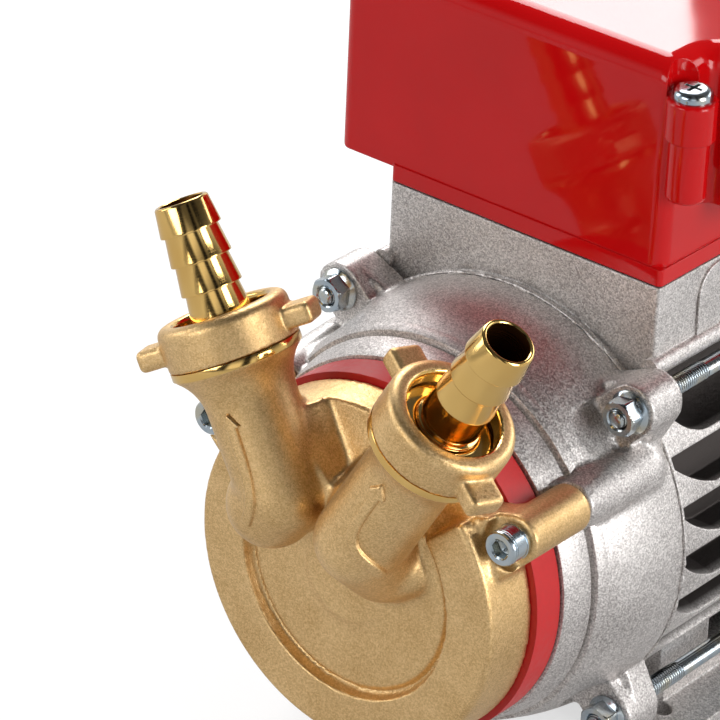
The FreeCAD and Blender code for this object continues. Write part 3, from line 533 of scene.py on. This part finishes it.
def easedRings(points, size):
    # each sharp corner of a profile becomes a small two-step round, on less than half of a side
    rings = [points[0]]
    for before, at, after in zip(points, points[1:], points[2:]):
        a, p, b = Vector(before), Vector(at), Vector(after)
        cutA = min(size, (a - p).length * 0.45)
        cutB = min(size, (b - p).length * 0.45)
        start, end = p + (a - p).normalized() * cutA, p + (b - p).normalized() * cutB
        middle = (start + end + 2 * p) / 4
        rings += [tuple(start), tuple(middle), tuple(end)]
    return rings + [points[-1]]


tail = {
    "topT": 117.6, "boreR": 6.5, "boreLowT": 76.4, "crestR": 8.95, "rootR": 7.85, "pitch": 8.65, "barbs": 4,
    "crestFrom": 0.05, "crestTo": 0.5, "tipR": 7.9, "tipRound": 0.5, "mouthRound": 0.3,
    "collarR": 13.85, "collarT": 79.6, "footR": 9.5, "neckSwell": 0.15, "neckRise": 0.6, "ease": 0.18,
    # the foot: out from footR and up from the collar, a fillet and then a fine tool groove
    "foot": [(0.9, -0.1), (0.2, 0.25), (0.0, 1.2), (-0.35, 1.25), (-0.35, 1.6), (0.0, 1.65), (-0.1, 2.0)]}


def tailProfile():
    bore, root, top, collar = tail["boreR"], tail["rootR"], tail["topT"], tail["collarT"]
    barbsLow = top - tail["barbs"] * tail["pitch"]
    points = [(bore, tail["boreLowT"]), (tail["collarR"], tail["boreLowT"]), (tail["collarR"], collar)]
    points += [(tail["footR"] + out, collar + up) for out, up in tail["foot"]]
    points += [(root + tail["neckSwell"], (collar + barbsLow) / 2 + tail["neckRise"]), (root, barbsLow)]
    for k in range(tail["barbs"]):
        low = barbsLow + k * tail["pitch"]
        points += [(tail["crestR"], low + tail["crestFrom"]), (tail["crestR"], low + tail["crestTo"])]
        if k < tail["barbs"] - 1:
            points.append((root, low + tail["pitch"]))
    points += [(tail["tipR"], top - tail["tipRound"]), (tail["tipR"] - tail["tipRound"], top),
               (bore + tail["mouthRound"], top), (bore, top - tail["mouthRound"])]
    return easedRings(points, tail["ease"]) + [(bore, tail["boreLowT"])]


band = {"outR": 19.25, "inR": 15.0, "lowT": 70.15, "topT": 72.6, "ease": 0.25}
for side, word in ((1, "Right"), (-1, "Left")):
    hoseTail = turnedForm("hoseTail" + word, tailProfile(), portTurn(side), steps=160, sharpDegrees=40.0)
    brasses = [turnedBrass[side], boreShadedBrass[side]]
    finishPiece(hoseTail, brasses, ["hose_tail_" + word.lower()])
    radius, _ = radiusFromAxis(vertexPlaces(hoseTail.data), portTurn(side))
    # faces inside the bore take the brass with painted shade
    for polygon in hoseTail.data.polygons:
        if max(radius[i] for i in polygon.vertices) < tail["boreR"] + 0.05:
            polygon.material_index = 1
    corners = [(band["inR"], band["lowT"]), (band["outR"], band["lowT"]), (band["outR"], band["topT"]),
               (band["inR"], band["topT"])]
    collar = turnedForm("collarBand" + word, easedRings(corners, band["ease"]), portTurn(side), steps=160)
    finishPiece(collar, [turnedBrass[side]])

land = {
    "innerR": 50.0, "frontR": 57.0, "stepR": 59.4, "grooveR": 58.1, "lipR": 60.75, "lipEndR": 61.98,
    "ease": 0.3}
corners = [(land["innerR"], bracket["landFront"]), (land["frontR"], bracket["landFront"]),
           (land["stepR"], bracket["landStep"]), (land["grooveR"], bracket["landStep"] + 0.1),
           (land["grooveR"], bracket["landEnd"] - 0.05), (land["lipR"], bracket["landEnd"]),
           (land["lipEndR"], bracket["lipEnd"]), (land["grooveR"], bracket["lipEnd"] + 0.8)]
bracketLand = turnedForm("bracketLand", easedRings(corners, land["ease"]), alongY, steps=300)
finishPiece(bracketLand, [castAluminium])


# Fasteners

def lineAlongY(x, y, z, outward):
    # place on a line along Y, heights counted towards the front for outward -1, to the back for 1
    return Matrix.Translation(onPump(x, y, z)) @ Matrix.Rotation(math.radians(-90 * outward), 4, "X")


capScrew = {
    "seatY": -8.6, "washerR": 5.45, "washerHigh": 1.4, "headR": 5.25, "headHigh": 6.0, "headRound": 0.5,
    "grooves": (2.0, 1.25), "grooveDeep": 0.22, "grooveWide": 0.4, "grooveEase": 0.1,
    "socketAcross": 5.0, "socketDeep": 3.2, "socketTip": 1.0, "socketBevel": 0.3,
    "shankR": 2.9, "shankLong": 39.0}


def capScrewRings():
    s = capScrew
    out, washer, high, shank = s["headR"], s["washerR"], s["washerHigh"], s["shankR"]
    top = high + s["headHigh"]
    floor = top - s["socketDeep"]
    cut, ease = out - s["grooveDeep"], s["grooveEase"]
    rings = [(0, -s["shankLong"]), (shank, -s["shankLong"]), (shank, 0), (washer - 0.3, 0), (washer, 0.25),
             (washer, high - 0.2), (washer - 0.2, high), (out - 0.15, high + 0.03), (out, high + 0.25)]
    for groove in s["grooves"]:
        low, end = top - groove, top - groove + s["grooveWide"]
        rings += [(out, low), (cut, low + ease), (cut, end - ease), (out, end)]
    return rings + [
        (out - 0.12, top - 0.4), (out - s["headRound"], top),
        (s["socketAcross"] / math.sqrt(3) + s["socketBevel"], top),
        (hexagonRadius(s["socketAcross"] + 0.1), top - 0.35),
        (hexagonRadius(s["socketAcross"]), floor), (0, floor - s["socketTip"])]


for word, angle in screws["angles"].items():
    x = screws["pitchR"] * math.cos(math.radians(angle))
    z = screws["pitchR"] * math.sin(math.radians(angle))
    turn = lineAlongY(x, capScrew["seatY"], z, -1)
    name = "capScrew" + word.capitalize()
    screw = turnedForm(name, capScrewRings(), turn, steps=144, sharpDegrees=28.0)
    finishPiece(screw, [zincSteel], ["head_screw_" + word])

flangeNut = {
    "across": 10.0, "flangeR": 6.6, "flangeHigh": 1.6, "high": 6.5, "boreR": 3.0,
    "frontY": 42.0, "rearY": 184.0,
    "turns": {1: 10.0, 2: 40.0, 3: 25.0, 4: 50.0}}  # how far each nut happens to be turned
rod = {
    "r": 2.95, "rootR": 2.42, "shankR": 2.72, "pitch": 1.0, "frontY": 34.7, "backY": 194.1,
    "dome": [(0, 0), (1.1, 0.06), (1.9, 0.3)], "domeHigh": 0.7, "threadStart": 0.9, "runOut": 0.3,
    "frontThread": 41.0, "rearThread": 30.0, "flankSteep": 2.4, "ringsPerPitch": 8, "steps": 40,
    "rootShadeShare": 0.42}  # share of the thread's depth that gets painted shade


def nutRings():
    n = flangeNut
    high, flange = n["high"], n["flangeR"]
    flat = n["across"] / 2
    point = n["across"] / math.sqrt(3)
    reach = hexagonRadius(n["across"], 0.12)

    def chamfered(share):  # how much of the corners is left
        return lambda angle: min(reach(angle), flat + (point - flat) * share)
    return [(n["boreR"], 0), (flange - 0.15, 0), (flange, 0.2), (flange, 0.7), (flange - 0.3, 1.0),
            (chamfered(1), n["flangeHigh"]), (chamfered(1), high - 0.85), (chamfered(0.72), high - 0.55),
            (chamfered(0.4), high - 0.28), (chamfered(0), high), (n["boreR"] + 0.6, high),
            (n["boreR"], high - 0.5), (n["boreR"], 0)]


def threadRadius(height):
    def radius(angle):
        share = (height / rod["pitch"] - angle / (2 * math.pi)) % 1.0
        level = min(1.0, rod["flankSteep"] * min(share, 1 - share))
        return rod["rootR"] + (rod["r"] - rod["rootR"]) * level
    return radius


def rodRings():
    length = rod["backY"] - rod["frontY"]
    dome = rod["dome"] + [(rod["rootR"], rod["domeHigh"])]
    front, rear, start = rod["frontThread"], length - rod["rearThread"], rod["threadStart"]
    rings = list(dome)
    for first, last in ((start, front), (rear, length - start)):
        count = int((last - first) / rod["pitch"] * rod["ringsPerPitch"])
        for k in range(count + 1):
            height = first + (last - first) * k / count
            rings.append((threadRadius(height), height))
        if last == front:
            rings += [(rod["shankR"], front + rod["runOut"]), (rod["shankR"], rear - rod["runOut"])]
    return rings + [(radius, length - height) for radius, height in reversed(dome)]


rodSides = [(sx, sz) for sx in (1, -1) for sz in (1, -1)]
for number, (sx, sz) in enumerate(rodSides, start=1):
    x, z = sx * rods["x"], sz * rods["z"]
    nutTurn = Matrix.Rotation(math.radians(flangeNut["turns"][number]), 4, "Z")
    for word, y, outward in (("front", flangeNut["frontY"], -1), ("rear", flangeNut["rearY"], 1)):
        name = word + "FlangeNut" + str(number)
        turn = lineAlongY(x, y, z, outward) @ nutTurn
        piece = turnedForm(name, nutRings(), turn, steps=144, sharpDegrees=28.0)
        finishPiece(piece, [zincSteel], [word + "_nut_" + str(number)])
    turn = lineAlongY(x, rod["frontY"], z, 1)
    tieRod = turnedForm("tieRod" + str(number), rodRings(), turn, steps=rod["steps"], sharpDegrees=60.0)
    finishPiece(tieRod, [zincSteel, zincRootsPaintedShade], ["tie_rod_" + str(number)])
    middle = onPump(x, 0, z)
    # faces low in the thread's roots take the painted shade
    shadeTo = rod["rootR"] + rod["rootShadeShare"] * (rod["r"] - rod["rootR"])
    for polygon in tieRod.data.polygons:
        away = math.hypot(polygon.center.x - middle.x, polygon.center.z - middle.z) / mm
        if rod["rootR"] - 0.1 < away < shadeTo:
            polygon.material_index = 1
print("fasteners done")


# Small cast forms on the motor: flash line, front ends of the two ledges, raised panel

flash = {"radius": 66.1, "y": 55.9, "thick": 0.48, "wander": 0.5, "steps": 720, "sides": 8, "seed": 4}


def flashLine():
    # the ragged bead where bracket and casing were cast against each other
    form = bmesh.new()
    rows = []
    spread = np.random.default_rng(flash["seed"]).normal(size=flash["steps"])
    spread = sum(np.roll(spread, k) for k in range(-3, 4)) / math.sqrt(7)  # evened out over seven steps
    for i in range(flash["steps"]):
        angle = 2 * math.pi * i / flash["steps"]
        thick = flash["thick"] * (1 + flash["wander"] * float(np.clip(spread[i], -2, 2)))
        row = []
        for k in range(flash["sides"]):
            turn = 2 * math.pi * k / flash["sides"]
            r = flash["radius"] + thick * math.cos(turn)
            row.append(form.verts.new(onPump(r * math.cos(angle), flash["y"] + thick * math.sin(turn),
                                             r * math.sin(angle))))
        rows.append(row)
    for i in range(flash["steps"]):
        low, high = rows[i], rows[(i + 1) % flash["steps"]]
        for k in range(flash["sides"]):
            n = (k + 1) % flash["sides"]
            form.faces.new((low[k], low[n], high[n], high[k]))
    finishPiece(meshPiece("flashLine", form), [castAluminium])


flashLine()

ledge = {"x": 48.9, "z": 57.0, "r": 3.0, "frontY": 55.9, "backY": 60.0}
for side, word in ((1, "Right"), (-1, "Left")):
    long = ledge["backY"] - ledge["frontY"]
    rings = [(0, 0), (ledge["r"], 0), (ledge["r"], long), (0, long)]
    turn = lineAlongY(side * ledge["x"], ledge["frontY"], ledge["z"], 1)
    finishPiece(turnedForm("ledgeFront" + word, rings, turn, steps=48), [castAluminium])

panel = {
    "x": 48.9, "rootDeep": 1.0, "high": 0.75, "frontY": 77.5, "backY": 133.0, "lowZ": 59.0, "highZ": 80.6,
    "corner": 8.0, "cornerSteps": 10, "ease": 0.35}


def panelOutline(inset):
    # counted from the lower rear corner over the front to the two rounded upper corners
    frontY, backY, lowZ = panel["frontY"], panel["backY"], panel["lowZ"]
    r, centreZ = panel["corner"] - inset, panel["highZ"] - panel["corner"]
    points = [(backY - inset, lowZ + inset), (frontY + inset, lowZ + inset)]
    for centreY, start in ((frontY + panel["corner"], 180.0), (backY - panel["corner"], 90.0)):
        for k in range(panel["cornerSteps"] + 1):
            angle = math.radians(start - 90.0 * k / panel["cornerSteps"])
            points.append((centreY + r * math.cos(angle), centreZ + r * math.sin(angle)))
    return points


def sidePanel():
    # a flat raised field with rounded upper corners on the side of the terminal box
    rise, ease = panel["high"], panel["ease"]
    layers = [(0.0, -panel["rootDeep"]), (0.0, rise - ease), (ease * 0.3, rise - ease * 0.3), (ease, rise)]
    form = bmesh.new()
    rows = []
    for inset, out in layers:
        rows.append([form.verts.new(onPump(panel["x"] + out, y, z)) for y, z in panelOutline(inset)])
    for low, high in zip(rows, rows[1:]):
        for k in range(len(low)):
            n = (k + 1) % len(low)
            form.faces.new((low[k], low[n], high[n], high[k]))
    form.faces.new(rows[0])
    form.faces.new(rows[-1])
    finishPiece(meshPiece("boxPanel", form, smooth=False), [castAluminium])


sidePanel()
print("cast details done")


# Raised flow arrows cast on the ports, as ribbons laid on the skin

arrow = {
    "half": 1.6, "headHalf": 3.1, "headLong": 4.4, "tipHalf": 0.5, "high": 1.15, "step": 0.4, "inner": 6,
    "riseLong": 0.8, "fallLong": 0.6,
    # the border: out from the half width, and share of the height; below 0 in mm, sunk into the skin
    "border": [(0.35, -0.2), (0.1, 0.12), (-0.04, 0.55), (-0.2, 0.82), (-0.45, 0.96)]}
arrowPaths = {
    "arrowRight": [(24.8, -31.0, 17.6), (24.8, -32.9, 19.3), (24.2, -35.6, 22.1), (22.9, -37.6, 24.5),
                   (21.2, -38.9, 27.4), (20.4, -39.6, 31.0), (21.2, -39.7, 35.2), (23.7, -39.7, 40.4),
                   (26.2, -39.6, 44.9), (28.7, -39.5, 49.2), (29.9, -39.5, 51.9)],
    "arrowLeft": [(-18.7, -38.7, 19.6), (-16.8, -39.6, 24.7), (-16.4, -39.9, 28.8), (-17.2, -39.8, 33.0),
                  (-18.7, -39.6, 37.1), (-20.6, -39.5, 41.2), (-22.5, -39.4, 44.9), (-24.4, -39.3, 48.6),
                  (-26.1, -39.2, 52.3)],
}


def evenPoints(path, step):
    points = [onPump(*p) for p in path]
    curve = [points[0]]
    for i in range(len(points) - 1):
        p0, p1, p2, p3 = points[max(i - 1, 0)], points[i], points[i + 1], points[min(i + 2, len(points) - 1)]
        parts = max(2, int((p2 - p1).length / (step * mm)))
        for k in range(1, parts + 1):
            t = k / parts
            curve.append(0.5 * (2 * p1 + (p2 - p0) * t + (2 * p0 - 5 * p1 + 4 * p2 - p3) * t * t
                                + (3 * p1 - 3 * p2 + p3 - p0) * t * t * t))
    return curve


def raisedArrow(name, path, ground):
    points = evenPoints(path, arrow["step"])
    lengths = [0.0]
    for a, b in zip(points, points[1:]):
        lengths.append(lengths[-1] + (b - a).length / mm)
    form = bmesh.new()
    rows = []
    for i, point in enumerate(points):
        ahead = (points[min(i + 1, len(points) - 1)] - points[max(i - 1, 0)]).normalized()
        spot, normal, _, _ = ground.find_nearest(point)
        sideways = ahead.cross(normal).normalized()
        left = lengths[-1] - lengths[i]
        half = arrow["half"]
        if left < arrow["headLong"]:
            half = max(arrow["tipHalf"], arrow["headHalf"] * left / arrow["headLong"])
        high = arrow["high"] * min(1.0, left / arrow["fallLong"]) * min(1.0, lengths[i] / arrow["riseLong"])
        border = [(half + out, level) for out, level in arrow["border"]]
        inner = border[-1][0]
        middle = [(inner * (1 - 2 * k / arrow["inner"]), 1.0) for k in range(1, arrow["inner"])]
        row = []
        for aside, level in border + middle + [(-aside, level) for aside, level in reversed(border)]:
            base, up, _, _ = ground.find_nearest(spot + sideways * aside * mm)
            lift = high * level if level > 0 else level
            row.append(form.verts.new(base + up * lift * mm))
        rows.append(row)
    for low, high in zip(rows, rows[1:]):
        for k in range(len(low) - 1):
            form.faces.new((low[k], low[k + 1], high[k + 1], high[k]))
    finishPiece(meshPiece(name, form), [castBrass])


ground = BVHTree.FromObject(headCasting, bpy.context.evaluated_depsgraph_get())
for name, path in arrowPaths.items():
    raisedArrow(name, path, ground)
print("arrows done")


# Floor, world, lights and camera

studio = {
    "floorHalf": 6.0,  # m
    "floorColour": "#A4A4A4", "floorRoughness": 0.9,
    "floorGlow": 0.64, "floorMirrorGlow": 0.2, "worldStrength": 0.36,
    # what polished metal mirrors round the horizon: the camera stands at 0.36, the backdrop at 0.86
    "bands": [(0.0, "#D8D8D8"), (0.1, "#C4C4C4"), (0.2, "#DCDCDC"), (0.26, "#3A3A3A"), (0.31, "#2C2C2C"),
              (0.33, "#FFFFFF"), (0.385, "#FFFFFF"), (0.4, "#2C2C2C"), (0.43, "#2C2C2C"), (0.44, "#F0F0F0"),
              (0.46, "#F0F0F0"), (0.475, "#343434"), (0.52, "#505050"), (0.56, "#C8C8C8"), (0.7, "#FFFFFF")],
    "ceilingFrom": 0.24, "ceilingTo": 0.55, "ceilingShade": 0.1}


def makeFloor():
    half = studio["floorHalf"]
    corners = [(-half, -half, 0), (half, -half, 0), (half, half, 0), (-half, half, 0)]
    mesh = bpy.data.meshes.new("floor")
    mesh.from_pydata(corners, [], [(0, 1, 2, 3)])
    floor = bpy.data.objects.new("floor", mesh)
    bpy.context.scene.collection.objects.link(floor)
    material, tree, _, shader = startMaterial("floorPaper")
    rays = addNode(tree, "LightPath").outputs
    mirrored = addNode(tree, "Math", {"operation": "MULTIPLY"}, {
        0: rays["Is Glossy Ray"], 1: studio["floorMirrorGlow"]}).outputs[0]
    glow = addNode(tree, "Math", {"operation": "MULTIPLY_ADD"}, {
        0: rays["Is Camera Ray"], 1: studio["floorGlow"], 2: mirrored}).outputs[0]
    shader.inputs["Roughness"].default_value = studio["floorRoughness"]
    shader.inputs["Base Color"].default_value = linearColour(studio["floorColour"])
    shader.inputs["Emission Color"].default_value = (1.0, 1.0, 1.0, 1.0)
    tree.links.new(glow, shader.inputs["Emission Strength"])
    mesh.materials.append(material)


def makeWorld():
    world = bpy.data.worlds.new("studio")
    bpy.context.scene.world = world
    world.use_nodes = True
    tree = world.node_tree
    tree.nodes.clear()
    rays = addNode(tree, "LightPath").outputs
    direction = addNode(tree, "TexCoord").outputs["Generated"]
    around = addNode(tree, "TexGradient", {"gradient_type": "RADIAL"}, {"Vector": direction}).outputs["Fac"]
    bands = addNode(tree, "ValToRGB", inputs={"Fac": around}, stops=studio["bands"]).outputs["Color"]
    height = addNode(tree, "SeparateXYZ", inputs={"Vector": direction}).outputs["Z"]
    dim = addNode(tree, "MapRange", inputs={
        "Value": height, "From Min": studio["ceilingFrom"], "From Max": studio["ceilingTo"],
        "To Min": 1.0, "To Max": studio["ceilingShade"]}).outputs["Result"]
    white = addNode(tree, "Background", inputs={"Color": (1, 1, 1, 1), "Strength": 1.0}).outputs[0]
    mirror = addNode(tree, "Background", inputs={"Color": bands, "Strength": dim}).outputs[0]
    fill = addNode(tree, "Background", inputs={
        "Color": (1, 1, 1, 1), "Strength": studio["worldStrength"]}).outputs[0]
    glossy = addNode(tree, "MixShader", inputs={0: rays["Is Glossy Ray"], 1: fill, 2: mirror}).outputs[0]
    shown = addNode(tree, "Math", {"operation": "MAXIMUM"}, {
        0: rays["Is Camera Ray"], 1: rays["Is Transmission Ray"]}).outputs[0]
    final = addNode(tree, "MixShader", inputs={0: shown, 1: glossy, 2: white}).outputs[0]
    addNode(tree, "OutputWorld", inputs={"Surface": final})


lamps = {  # soft boxes: where each stands, its width and height in m, and its power in watts
    "topBox": {"place": (-1.1, 0.9, 1.4), "size": (1.0, 1.0), "watts": 26.0},
    "leftBox": {"place": (-1.6, -0.9, 0.8), "size": (0.6, 1.2), "watts": 8.0},
    "rightBox": {"place": (1.7, 0.0, 0.55), "size": (0.7, 1.0), "watts": 20.0},
    "frontBox": {"place": (-0.3, -1.7, 0.6), "size": (0.9, 0.6), "watts": 8.0},
    "backBox": {"place": (0.8, 1.6, 0.8), "size": (1.2, 0.7), "watts": 11.0},
}
lampTarget = Vector((0.0, -0.09, 0.11))  # the middle of the pump


def softBox(name, look):
    lamp = bpy.data.lights.new(name, "AREA")
    lamp.shape = "RECTANGLE"
    lamp.size, lamp.size_y = look["size"]
    lamp.energy = look["watts"]
    holder = bpy.data.objects.new(name, lamp)
    bpy.context.scene.collection.objects.link(holder)
    holder.location = look["place"]
    holder.rotation_euler = (lampTarget - Vector(look["place"])).to_track_quat("-Z", "Y").to_euler()


makeFloor()
makeWorld()
for name, look in lamps.items():
    softBox(name, look)

view = {
    "place": (726.9, -1043.9, 780.8), "right": (0.7693, 0.6378, 0.0391), "up": (-0.3318, 0.3465, 0.8774),
    "lensMm": 240.3, "sensorMm": 36.0, "clipFrom": 0.05, "clipTo": 30.0}


def makeCamera():
    data = bpy.data.cameras.new("camera")
    data.lens = view["lensMm"]
    data.sensor_width = view["sensorMm"]
    data.clip_start = view["clipFrom"]
    data.clip_end = view["clipTo"]
    camera = bpy.data.objects.new("camera", data)
    bpy.context.scene.collection.objects.link(camera)
    right = Vector(view["right"]).normalized()
    up = (Vector(view["up"]) - right * right.dot(Vector(view["up"]))).normalized()
    turn = Matrix((right, up, right.cross(up))).transposed().to_4x4()
    camera.matrix_world = Matrix.Translation(Vector(view["place"]) * mm) @ turn
    bpy.context.scene.camera = camera


makeCamera()
bpy.context.scene.view_settings.view_transform = "Standard"
print("studio done")
